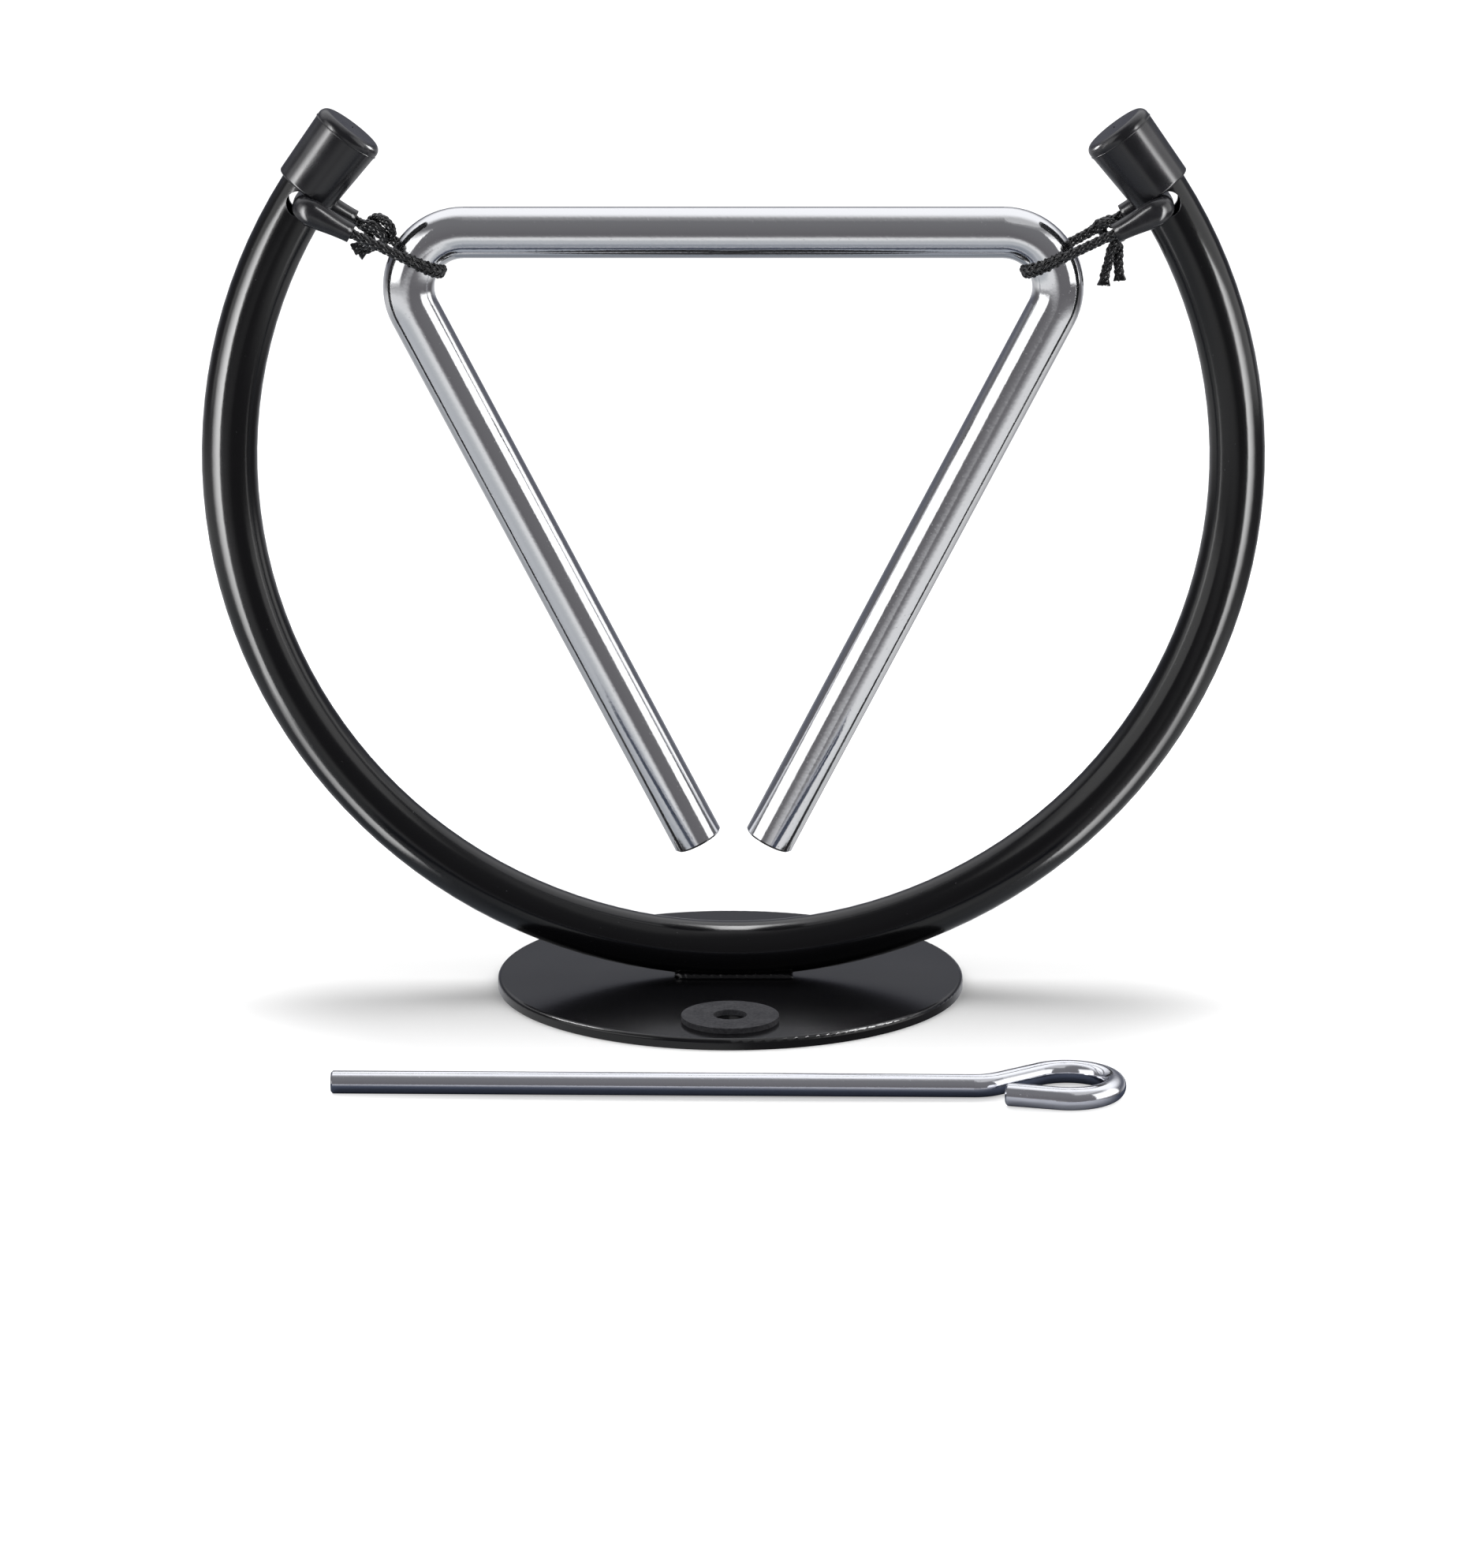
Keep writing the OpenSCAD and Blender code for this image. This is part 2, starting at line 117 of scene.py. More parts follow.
def ramp(tree, value, low, high, to_low=0.0, to_high=1.0):
    """Maps a value between two limits, smoothly and clamped."""
    return node(tree, "ShaderNodeMapRange",
                {"Value": value, "From Min": low, "From Max": high,
                 "To Min": to_low, "To Max": to_high},
                interpolation_type="SMOOTHSTEP").outputs["Result"]


def mixed(tree, factor, a, b):
    """A colour between two colours."""
    made = node(tree, "ShaderNodeMix", {0: factor, 6: (*a, 1), 7: (*b, 1)}, data_type="RGBA")
    return made.outputs[2]


def set_input(tree, shader, name, value):
    """Links a value to one of the shader's inputs."""
    tree.links.new(value, shader.inputs[name])


def bump(tree, shader, height, depth):
    """Raises the surface by a height of 0 to 1 over a depth in metres."""
    made = node(tree, "ShaderNodeBump", {"Height": height, "Distance": depth, "Strength": 1.0})
    set_input(tree, shader, "Normal", made.outputs["Normal"])


cord_skin, tree, shader = material("braided_cord", (0.012, 0.012, 0.013), 0.3,
                                   Sheen_Weight=0.03, Sheen_Roughness=0.4, IOR=1.6)
fibre = node(tree, "ShaderNodeAttribute", attribute_name="fibre").outputs["Vector"]
filaments = noise(tree, 1.0, 2.0, (5.5, 5.5, 0.5), fibre)
dust = noise(tree, 2600, 3.0)
shade = mixed(tree, ramp(tree, filaments, 0.35, 0.75), (0.002, 0.002, 0.0025),
              (0.014, 0.014, 0.016))
set_input(tree, shader, "Base Color", shade)
set_input(tree, shader, "Roughness", ramp(tree, dust, 0.3, 0.7, 0.14, 0.26))
bump(tree, shader, filaments, 0.00004)

melted_skin, tree, shader = material("melted_cord", (0.008, 0.008, 0.009), 0.3)
bump(tree, shader, noise(tree, 1500, 3.0), 0.00012)


def open_group(name, sizes):
    """A node group that takes a curve, a material and named sizes."""
    tree = bpy.data.node_groups.new(name, "GeometryNodeTree")
    sockets = tree.interface
    sockets.new_socket("Geometry", in_out="INPUT", socket_type="NodeSocketGeometry")
    sockets.new_socket("Material", in_out="INPUT", socket_type="NodeSocketMaterial")
    for label, value in sizes.items():
        kind = "NodeSocketInt" if isinstance(value, int) else "NodeSocketFloat"
        made = sockets.new_socket(label, in_out="INPUT", socket_type=kind)
        made.default_value = value
    sockets.new_socket("Geometry", in_out="OUTPUT", socket_type="NodeSocketGeometry")
    return tree, node(tree, "NodeGroupInput").outputs


def close_group(tree, made, skin):
    """Ends a node group: smooth faces, real geometry and its material."""
    smooth = node(tree, "GeometryNodeSetShadeSmooth", {"Geometry": made})
    real = node(tree, "GeometryNodeRealizeInstances", {"Geometry": smooth.outputs[0]})
    done = node(tree, "GeometryNodeSetMaterial",
                {"Geometry": real.outputs[0], "Material": skin})
    node(tree, "NodeGroupOutput", {"Geometry": done.outputs[0]})


def marked_circle(tree, sides):
    """A unit circle to sweep, whose points remember their place on it as "around"."""
    circle = node(tree, "GeometryNodeCurvePrimitiveCircle",
                  {"Resolution": sides, "Radius": 1.0})
    marked = node(tree, "GeometryNodeCaptureAttribute", {0: circle.outputs[0]})
    marked.capture_items.new("VECTOR", "around")
    tree.links.new(node(tree, "GeometryNodeInputPosition").outputs[0], marked.inputs["around"])
    return marked.outputs


def braid_tree():
    """A node group that lays crossing strands and a core along every spline. Half of the
    strands wind one way and half the other, and each goes over and under in turn."""
    tree, given = open_group("braid", {
        "Cord radius": 1.16, "Strand width": 1.0, "Strand thickness": 0.56,
        "Rise at crossings": 0.2, "Pitch": 8.4, "Strands": 8, "Step": 0.22,
        "Unevenness": 0.07})
    core_share, core_sides, strand_sides = 0.66, 8, 8   # the core's share of the cord radius
    strand_flat_share, wrap_spread = 0.5, 0.9   # how strands and cord follow the flat wrap
    unevenness_scale, filament_shift = 0.9, 9.0

    fine = node(tree, "GeometryNodeResampleCurve",
                {"Curve": given["Geometry"], "Length": given["Step"]}, mode="LENGTH")
    keep = node(tree, "GeometryNodeCaptureAttribute", {0: fine.outputs[0]})
    parameter = node(tree, "GeometryNodeSplineParameter").outputs
    kept = {}
    for name, kind, value in (
            ("normal", "VECTOR", node(tree, "GeometryNodeInputNormal").outputs["Normal"]),
            ("tangent", "VECTOR", node(tree, "GeometryNodeInputTangent").outputs[0]),
            ("factor", "FLOAT", parameter["Factor"]),
            ("along", "FLOAT", parameter["Length"]),
            ("total", "FLOAT", node(tree, "GeometryNodeSplineLength").outputs["Length"]),
            ("flat", "FLOAT", node(tree, "GeometryNodeInputRadius").outputs[0])):
        keep.capture_items.new(kind, name)
        tree.links.new(value, keep.inputs[name])
        kept[name] = keep.outputs[name]

    copies = node(tree, "GeometryNodeDuplicateElements",
                  {"Geometry": keep.outputs["Geometry"], "Amount": given["Strands"]},
                  domain="SPLINE")
    index = copies.outputs["Duplicate Index"]
    half = calc(tree, "DIVIDE", given["Strands"], 2)
    way = calc(tree, "MULTIPLY_ADD", calc(tree, "MODULO", index, 2), 2, -1)
    first = calc(tree, "DIVIDE", calc(tree, "FLOOR", calc(tree, "DIVIDE", index, 2)), half)
    turns = calc(tree, "ROUND", calc(tree, "DIVIDE", kept["total"], given["Pitch"]))
    turned = calc(tree, "MULTIPLY", calc(tree, "MULTIPLY", turns, kept["factor"]), math.tau)
    angle = calc(tree, "MULTIPLY_ADD", way, turned, calc(tree, "MULTIPLY", first, math.tau))
    wave = calc(tree, "MULTIPLY", way, calc(tree, "COSINE", calc(tree, "MULTIPLY", half, turned)))
    where = node(tree, "GeometryNodeInputPosition").outputs[0]
    odd = node(tree, "ShaderNodeTexNoise",
               {"Vector": vector(tree, "ADD", where, node(
                   tree, "ShaderNodeCombineXYZ", {"X": index, "Y": 7.0}).outputs[0]),
                "Scale": unevenness_scale, "Detail": 1.0}).outputs["Fac"]
    uneven = calc(tree, "MULTIPLY", calc(tree, "SUBTRACT", odd, 0.5),
                  calc(tree, "MULTIPLY", given["Unevenness"], 2))
    seat = calc(tree, "SUBTRACT", calc(tree, "SUBTRACT", given["Cord radius"],
                                       calc(tree, "MULTIPLY", given["Strand thickness"], 0.5)),
                given["Rise at crossings"])
    reach = calc(tree, "ADD", calc(tree, "MULTIPLY_ADD", wave, given["Rise at crossings"], seat),
                 uneven)
    # The wrap on the rod flattens the braid in its own plane and spreads it across
    wide = calc(tree, "MULTIPLY_ADD", calc(tree, "SUBTRACT", 1, kept["flat"]), wrap_spread, 1)
    binormal = vector(tree, "CROSS_PRODUCT", kept["tangent"], kept["normal"])
    radial = vector(tree, "ADD",
                    vector(tree, "SCALE", kept["normal"], scale=calc(
                        tree, "MULTIPLY", calc(tree, "COSINE", angle), kept["flat"])),
                    vector(tree, "SCALE", binormal, scale=calc(
                        tree, "MULTIPLY", calc(tree, "SINE", angle), wide)))
    laid = node(tree, "GeometryNodeSetPosition",
                {"Geometry": copies.outputs["Geometry"],
                 "Offset": vector(tree, "SCALE", radial, scale=reach)})
    facing = node(tree, "GeometryNodeSetCurveNormal",
                  {"Curve": laid.outputs[0], "Normal": vector(tree, "NORMALIZE", radial)},
                  mode="FREE")
    level = node(tree, "GeometryNodeSetCurveRadius",
                 {"Curve": facing.outputs[0],
                  "Radius": calc(tree, "MULTIPLY_ADD", calc(tree, "SUBTRACT", kept["flat"], 1),
                                 strand_flat_share, 1)})
    circle = marked_circle(tree, strand_sides)
    oval = node(tree, "GeometryNodeTransform",
                {"Geometry": circle["Geometry"], "Scale": node(
                    tree, "ShaderNodeCombineXYZ",
                    {"X": calc(tree, "MULTIPLY", given["Strand thickness"], 0.5),
                     "Y": calc(tree, "MULTIPLY", given["Strand width"], 0.5),
                     "Z": 1.0}).outputs[0]})
    strands = node(tree, "GeometryNodeCurveToMesh",
                   {"Curve": level.outputs[0], "Profile Curve": oval.outputs[0],
                    "Scale": node(tree, "GeometryNodeInputRadius").outputs[0],
                    "Fill Caps": True})
    split = node(tree, "ShaderNodeSeparateXYZ", {0: circle["around"]}).outputs
    # Place round and along each strand, for the filaments of its material
    fibres = node(tree, "ShaderNodeCombineXYZ",
                  {"X": split["X"], "Y": split["Y"], "Z": calc(
                      tree, "MULTIPLY_ADD", index, filament_shift, kept["along"])})
    marked = node(tree, "GeometryNodeStoreNamedAttribute",
                  {"Geometry": strands.outputs[0], "Name": "fibre", "Value": fibres.outputs[0]},
                  data_type="FLOAT_VECTOR", domain="POINT")

    core = node(tree, "GeometryNodeCurveToMesh",
                {"Curve": keep.outputs["Geometry"], "Scale": kept["flat"], "Profile Curve": node(
                    tree, "GeometryNodeCurvePrimitiveCircle",
                    {"Resolution": core_sides, "Radius": calc(
                        tree, "MULTIPLY", given["Cord radius"], core_share)}).outputs[0],
                 "Fill Caps": True})
    both = node(tree, "GeometryNodeJoinGeometry")
    tree.links.new(marked.outputs[0], both.inputs[0])
    tree.links.new(core.outputs[0], both.inputs[0])
    close_group(tree, both.outputs[0], given["Material"])
    return tree


def grown(name, splines, group, values):
    """Runs a node group over splines of (x, y, z, radius) and returns a plain mesh."""
    curve = bpy.data.curves.new(name, "CURVE")
    curve.dimensions = "3D"
    curve.twist_mode = "MINIMUM"
    for points, closed in splines:
        spline = curve.splines.new("POLY")
        spline.points.add(len(points) - 1)
        for point, (x, y, z, radius) in zip(spline.points, points):
            point.co = (x, y, z, 1)
            point.radius = radius
        spline.use_cyclic_u = closed
    path = bpy.data.objects.new(name, curve)
    scene.collection.objects.link(path)
    live = path.modifiers.new("nodes", "NODES")
    live.node_group = group
    for item in group.interface.items_tree:
        if item.item_type == "SOCKET" and item.in_out == "INPUT" and item.name in values:
            live[item.identifier] = values[item.name]
    bpy.context.view_layer.update()
    graph = bpy.context.evaluated_depsgraph_get()
    mesh = bpy.data.meshes.new_from_object(path.evaluated_get(graph), depsgraph=graph)
    path.modifiers.remove(live)
    bpy.data.objects.remove(path)
    bpy.data.curves.remove(curve)
    return mesh


def add_object(name, mesh, *skins):
    """Puts a finished mesh in the scene, unturned at the origin."""
    for skin in skins:
        mesh.materials.append(skin)
    made = bpy.data.objects.new(name, mesh)
    scene.collection.objects.link(made)
    return made


def joined_rings(work, rings):
    """Faces between each ring of points and the next."""
    return [work.faces.new((low[i - 1], low[i], high[i], high[i - 1]))
            for low, high in zip(rings, rings[1:]) for i in range(len(low))]


def arc(cx, cy, r, start, end, steps):
    """Points on an arc in a plane, angles in degrees."""
    return [(cx + r * math.cos(math.radians(start + (end - start) * i / steps)),
             cy + r * math.sin(math.radians(start + (end - start) * i / steps)))
            for i in range(steps + 1)]


def rounded(points, steps=8):
    """A smooth curve through points in space."""
    out = []
    line = [points[0]] + points + [points[-1]]
    for a, b, c, d in zip(line, line[1:], line[2:], line[3:]):
        for i in range(steps):
            t = i / steps
            out.append(0.5 * (2 * b + (c - a) * t + (2 * a - 5 * b + 4 * c - d) * t * t
                              + (3 * b - a - 3 * c + d) * t ** 3))
    return out + [points[-1]]


# A loop lies in a plane that slopes down from the sleeve's middle to the triangle's corner.
# A point in it is its reach towards the triangle, its depth to the rear and its height over
# the plane, all in millimetres.
SEAT = Vector((-91.706, 0, 173.927))   # the sleeve's middle, on the left
TILT = math.radians(27.2)              # slope of the plane
LOOP_REACH, WRAP = 26.9, 6.302         # the rod's middle, and the wrap's radius round it
LEG_DEPTH, BEND, FRONT_REACH = 8.5, 2.9, 12.0   # the sleeve's legs, bends and front mouth
CORD = 2.2                             # the cord's diameter
FLAT = 0.62                            # how flat the braid lies on the rod
STRAND_STEPS, ROUND_RATE = 12, 0.5 / 2.4   # points of a strand, and how soon it is round


def from_plane(side):
    """The matrix from a loop's plane to the object's frame, mirrored for the right side."""
    turn = Matrix((( math.cos(TILT), 0, math.sin(TILT), SEAT.x),
                   (0, 1, 0, SEAT.y),
                   (-math.sin(TILT), 0, math.cos(TILT), SEAT.z),
                   (0, 0, 0, 1)))
    return Matrix.Diagonal((0.001 * side, 0.001, 0.001, 1)) @ turn


def sleeve_line(rear_reach, steps):
    """Centreline of a sleeve: rear leg, through the hole in the tube, front leg."""
    return ([(rear_reach + (BEND - rear_reach) * i / 8, LEG_DEPTH) for i in range(8)]
            + arc(BEND, LEG_DEPTH - BEND, BEND, 90, 180, steps)
            + [(0, y) for y in (3.7, 1.9, 0, -1.9, -3.7)]
            + arc(BEND, BEND - LEG_DEPTH, BEND, 180, 270, steps)
            + [(BEND + (FRONT_REACH - BEND) * (i + 1) / 8, -LEG_DEPTH) for i in range(8)])


def strand(leg, rod):
    """Straight strand from the wrap on the rod to a leg of the sleeve, without its ends."""
    return [(rod[0] + (leg[0] - rod[0]) * i / STRAND_STEPS,
             rod[1] + (leg[1] - rod[1]) * i / STRAND_STEPS, 0, min(1, FLAT + ROUND_RATE * i))
            for i in range(1, STRAND_STEPS)]


# Each cord: its side, the reach of its sleeve's rear leg, the reach of its knot beyond that,
# and the way of both ends round the strand in cord diameters (to the triangle, rear, up)
LEFT, RIGHT = 1, -1   # the right side is the left one, mirrored
REAR_REACH = {"left": 11.6, "right": 9.2}
KNOTS = {
    "left_cord": (LEFT, REAR_REACH["left"], 5.4, (
        ((1.9, -0.25, -0.98), (1.3, 0.1, -0.5), (1.5, -0.7, 0.2), (1, -0.8, 1.1), (0.1, 0, 1.4),
         (-0.6, 0.8, 0.9), (-0.9, 0.9, -0.1), (-0.6, 0.2, -0.9), (-1, -0.4, -1.1),
         (-1.6, -0.5, -1.3), (-2.2, -0.4, -1.6)),
        ((-1.9, 0.25, 0.98), (-1.3, 0.1, 0.5), (-1, -0.8, 0.9), (-0.1, -1, 0.7), (0.6, -0.9, 0),
         (0.7, -0.4, -0.8), (0.2, 0.3, -1.3), (-0.6, 0.4, -1.6), (-1.2, 0.2, -1.8),
         (-1.8, 0.1, -2.2)))),
    "right_cord": (RIGHT, REAR_REACH["right"], 2.8, (
        ((1.9, -0.25, -0.98), (1.3, 0.1, -0.5), (1.1, -0.7, -0.1), (0.2, -0.9, 0),
         (-0.8, -0.8, -0.4), (-1.2, -0.5, -1.2), (-0.6, -0.3, -1.9), (-0.1, -0.5, -2.7),
         (0.2, -0.5, -4), (0.5, -0.4, -5.2), (0.6, -0.4, -6.2)),
        ((-1.6, 0.2, 0.75), (-0.9, 0.6, -0.2), (0, 1, 0), (0.8, 0.7, -0.5), (0.6, 0, -1.3),
         (-0.3, -0.1, -1.8), (-0.8, 0.1, -2.6), (-0.8, 0, -3.8), (-0.9, 0.1, -5),
         (-1, 0.1, -5.8)))),
}

# The melted tips: a lumpy bead a little wider than the cord, as (place along the cord from
# its end, radius), ragged beyond its shoulder
TIP = ((-1.3, 0.7), (-1.2, 1.0), (-0.8, 1.12), (-0.35, 1.28), (-0.05, 1.42), (0.12, 1.36),
       (0.16, 1.1), (0.05, 0.7), (0.0, 0.3))
TIP_SIDES, TIP_SHOULDER = 28, 3
LUMPS, SMALL_LUMPS, RAGGED = 0.07, 0.05, 0.12

taper = math.atan((LEG_DEPTH - WRAP) / (LOOP_REACH - FRONT_REACH))
turn = 90 + math.degrees(taper)
wrap_x, wrap_y = LOOP_REACH - WRAP * math.sin(taper), WRAP * math.cos(taper)
braid = braid_tree()
for name, (side, rear_reach, knot_at, ends) in KNOTS.items():
    loop = [(x, y, 0, FLAT) for x, y in arc(LOOP_REACH, 0, WRAP, -turn, turn, steps=40)]
    loop += strand((rear_reach, LEG_DEPTH), (wrap_x, wrap_y))
    loop += [(x, y, 0, 1) for x, y in sleeve_line(rear_reach, steps=12)]
    loop += strand((FRONT_REACH, -LEG_DEPTH), (wrap_x, -wrap_y))[::-1]
    splines = [(loop, True)]
    reach = rear_reach + knot_at
    depth = LEG_DEPTH + (wrap_y - LEG_DEPTH) * knot_at / (wrap_x - rear_reach)
    tips = []
    for end in ends:
        points = [Vector((reach + CORD * (x * math.cos(TILT) - z * math.sin(TILT)),
                          depth + CORD * y,
                          CORD * (x * math.sin(TILT) + z * math.cos(TILT))))
                  for x, y, z in end]
        line = rounded(points)
        tips.append((line[-1], (line[-1] - line[-3]).normalized()))
        splines.append(([(*p, 1) for p in line], False))
    mesh = grown(name, splines, braid, {"Material": cord_skin})
    mesh.materials.append(melted_skin)
    work = bmesh.new()
    work.from_mesh(mesh)
    for k, (tip, along) in enumerate(tips):
        across = along.orthogonal().normalized()
        other = along.cross(across)
        rings = []
        for j, (place, radius) in enumerate(TIP):
            ring = []
            for i in range(TIP_SIDES):
                a = math.tau * i / TIP_SIDES
                lump = (1 + LUMPS * math.sin(3 * a + k + 0.3 * j)
                        + SMALL_LUMPS * math.sin(7 * a + 2 * k))
                ragged = RAGGED * math.sin(2 * a + k) if j > TIP_SHOULDER else 0
                ring.append(work.verts.new(
                    tip + along * (place + ragged)
                    + (across * math.cos(a) + other * math.sin(a)) * radius * lump))
            rings.append(ring)
        faces = joined_rings(work, rings)
        faces += [work.faces.new(rings[0][::-1]), work.faces.new(rings[-1])]
        for face in faces:
            face.smooth = True
            face.material_index = 1
    work.transform(from_plane(side))
    bmesh.ops.recalc_face_normals(work, faces=work.faces)
    work.to_mesh(mesh)
    work.free()
    cord = add_object(name + "_braid", mesh)
    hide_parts(name)
    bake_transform(cord)


# Base plate: a punched and rounded steel disc with a gloss black powder coat, which shows
# a faint orange peel, a little dust, and patches that are a shade duller.
def coated(name, rough, peel=0.000006):
    """The stand's gloss black powder coat: its roughness, and its orange peel in metres."""
    black, dust, duller_by = (0.0035, 0.0035, 0.0042), (0.08, 0.08, 0.085), 0.04
    made, tree, shader = material(name, black, rough, IOR=1.42)
    specks = ramp(tree, noise(tree, 1500, 4.0), 0.73, 0.77)
    set_input(tree, shader, "Base Color", mixed(tree, specks, black, dust))
    set_input(tree, shader, "Roughness",
              ramp(tree, noise(tree, 40, 5.0), 0.3, 0.7, rough, rough + duller_by))
    bump(tree, shader, noise(tree, 900, 2.0), peel)
    return made


def new_skin(piece, skin):
    """Takes a CAD piece's plain material off and puts its own on."""
    piece.data.materials.clear()
    piece.data.materials.append(skin)


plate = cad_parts["base_plate"]
new_skin(plate, coated("powder_coat_plate", 0.16))


# Welds: two short fillet beads along the foot of the hoop, laid ripple by ripple before the
# coat, which covers them.
def bead_tree():
    """A node group that sweeps a bead along a line. Each ripple is a crescent, because the
    pool of metal lags behind in its middle, and the bead's ends are rounded."""
    tree, given = open_group("weld_bead", {
        "Radius": 1.7, "Ripples": 14.0, "Ripple depth": 0.09, "Crescent": 0.75})
    rings, sides, blunt_end, wander_share = 260, 28, 14, 0.16
    fine = node(tree, "GeometryNodeResampleCurve",
                {"Curve": given["Geometry"], "Count": rings}, mode="COUNT")
    factor = node(tree, "GeometryNodeSplineParameter").outputs["Factor"]
    ripple = calc(tree, "ABSOLUTE", calc(tree, "SINE", calc(
        tree, "MULTIPLY", calc(tree, "MULTIPLY", factor, given["Ripples"]), math.pi)))
    off = calc(tree, "ABSOLUTE", calc(tree, "MULTIPLY_ADD", factor, 2, -1))
    end = calc(tree, "SQRT", calc(tree, "MAXIMUM", 0.0, calc(
        tree, "SUBTRACT", 1, calc(tree, "POWER", off, blunt_end))))
    wander = calc(tree, "MULTIPLY", calc(tree, "SUBTRACT", node(
        tree, "ShaderNodeTexNoise", {"Scale": 0.35, "Detail": 2.0}).outputs["Fac"], 0.5),
        wander_share)
    size = calc(tree, "MULTIPLY", given["Radius"], calc(
        tree, "ADD", calc(tree, "SUBTRACT", 1, calc(
            tree, "MULTIPLY", given["Ripple depth"], calc(tree, "SUBTRACT", 1, ripple))), wander))
    sized = node(tree, "GeometryNodeSetCurveRadius",
                 {"Curve": fine.outputs[0], "Radius": calc(tree, "MULTIPLY", size, end)})
    circle = marked_circle(tree, sides)
    swept = node(tree, "GeometryNodeCurveToMesh",
                 {"Curve": sized.outputs[0], "Profile Curve": circle["Geometry"],
                  "Scale": node(tree, "GeometryNodeInputRadius").outputs[0], "Fill Caps": True})
    flat = node(tree, "ShaderNodeSeparateXYZ", {0: circle["around"]}).outputs
    lag = calc(tree, "MULTIPLY", calc(tree, "MULTIPLY", flat["X"], flat["X"]), given["Crescent"])
    bent = node(tree, "GeometryNodeSetPosition",
                {"Geometry": swept.outputs[0], "Offset": node(
                    tree, "ShaderNodeCombineXYZ", {"X": lag}).outputs[0]})
    close_group(tree, bent.outputs[0], given["Material"])
    return tree


# The hoop's middle radius, the tube's radius, the plate's top, the hoop's middle, and how
# far a bead lies before or behind the tube's middle, in millimetres
HOOP_R, TUBE_R, PLATE_TOP = 108.604, 6.0, 2.4
HOOP_Z = PLATE_TOP + TUBE_R + HOOP_R
BEAD_DEPTH, BEAD_STEPS = 2.49, 60
weld_coat = coated("powder_coat_weld", 0.22, 0.00003)
bead = bead_tree()
for name, side in (("front_weld", -1), ("rear_weld", 1)):
    low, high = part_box(name)
    left, right = low.x * 1000, high.x * 1000
    half = (right - left) / 2
    line = [(-half + 2 * half * i / BEAD_STEPS, side * BEAD_DEPTH, PLATE_TOP, 1)
            for i in range(BEAD_STEPS + 1)]
    mesh = grown(name, [(line, False)], bead, {"Material": weld_coat})
    work = bmesh.new()
    work.from_mesh(mesh)
    # The bead lies against the tube and on the plate, never inside them
    for vert in work.verts:
        x, y, z = vert.co
        z = max(z, PLATE_TOP)
        ring = math.hypot(x, z - HOOP_Z)
        away = math.hypot(ring - HOOP_R, y)
        if away < TUBE_R:
            y = y * TUBE_R / away
            moved = HOOP_R + (ring - HOOP_R) * TUBE_R / away
            x, z = x * moved / ring, HOOP_Z + (z - HOOP_Z) * moved / ring
        z = max(z, PLATE_TOP)
        x = max(left, min(right, x))
        vert.co = (x / 1000, y / 1000, z / 1000)
    bmesh.ops.recalc_face_normals(work, faces=work.faces)
    work.to_mesh(mesh)
    work.free()
    weld = add_object(name + "_bead", mesh)
    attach(weld, "stand")
    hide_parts(name)


# Washer: a cut disc of soft rubber that lies over the hole, dusty on top, with a rough
# sawn edge.
washer_skin, tree, shader = material("washer_rubber", (0.03, 0.03, 0.033), 0.8)
grain = noise(tree, 1400, 5.0)
cloud = noise(tree, 160, 3.0)
set_input(tree, shader, "Base Color",
          mixed(tree, ramp(tree, grain, 0.3, 0.7), (0.015, 0.015, 0.018), (0.038, 0.038, 0.042)))
set_input(tree, shader, "Roughness", ramp(tree, cloud, 0.3, 0.7, 0.62, 0.85))
bump(tree, shader, grain, 0.00012)
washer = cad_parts["mount_washer"]
new_skin(washer, washer_skin)


# Hoop: one steel tube, rolled to an open ring, with a cross hole near each end, under the
# same gloss black powder coat.
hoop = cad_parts["frame_tube"]
new_skin(hoop, coated("powder_coat_hoop", 0.15))


# Caps: moulded rubber tips pushed on the tube's ends, with a fine flash ridge near the
# closed end and an air slit in it.
cap_skin, tree, shader = material("cap_rubber", (0.012, 0.012, 0.014), 0.25)
rub = noise(tree, 160, 2.0)
set_input(tree, shader, "Base Color",
          mixed(tree, ramp(tree, rub, 0.35, 0.7), (0.010, 0.010, 0.012), (0.015, 0.015, 0.018)))
set_input(tree, shader, "Roughness", ramp(tree, rub, 0.3, 0.7, 0.2, 0.25))
bump(tree, shader, noise(tree, 1100, 4.0), 0.0000012)
for name in ("left_cap", "right_cap"):
    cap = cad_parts[name]
    new_skin(cap, cap_skin)


# Sleeves: short lengths of soft tubing, pushed through the cross holes and bent into a U,
# pinched where they turn, cut square with a knife.
sleeve_skin, tree, shader = material("sleeve_tubing", (0.014, 0.014, 0.016), 0.28)
streaks = noise(tree, 500, 3.0)
set_input(tree, shader, "Base Color",
          mixed(tree, ramp(tree, streaks, 0.3, 0.7), (0.012, 0.012, 0.014),
                (0.022, 0.022, 0.025)))
set_input(tree, shader, "Roughness", ramp(tree, noise(tree, 260, 4.0), 0.3, 0.7, 0.17, 0.25))
bump(tree, shader, noise(tree, 1300, 3.0), 0.000002)

SLEEVE_R, BORE_R, SLEEVE_SIDES = 2.1, 1.45, 48
PINCH_WIDER, PINCH_FLATTER = 0.4, 0.2
# The flare where a leg leaves its bend: its height, where it starts and how fast it rises,
# and where it ends before the front mouth and over what length
FLARE, FLARE_START, FLARE_RISE, FLARE_END, FLARE_FALL = 0.5, 0.4, 2.0, 1.0, 7.0
# The knife's cut edge, as (how much is rounded off, how far in from the end)
CUT_EDGE = ((0.12, 0.0), (0.05, 0.04), (0.0, 0.12))


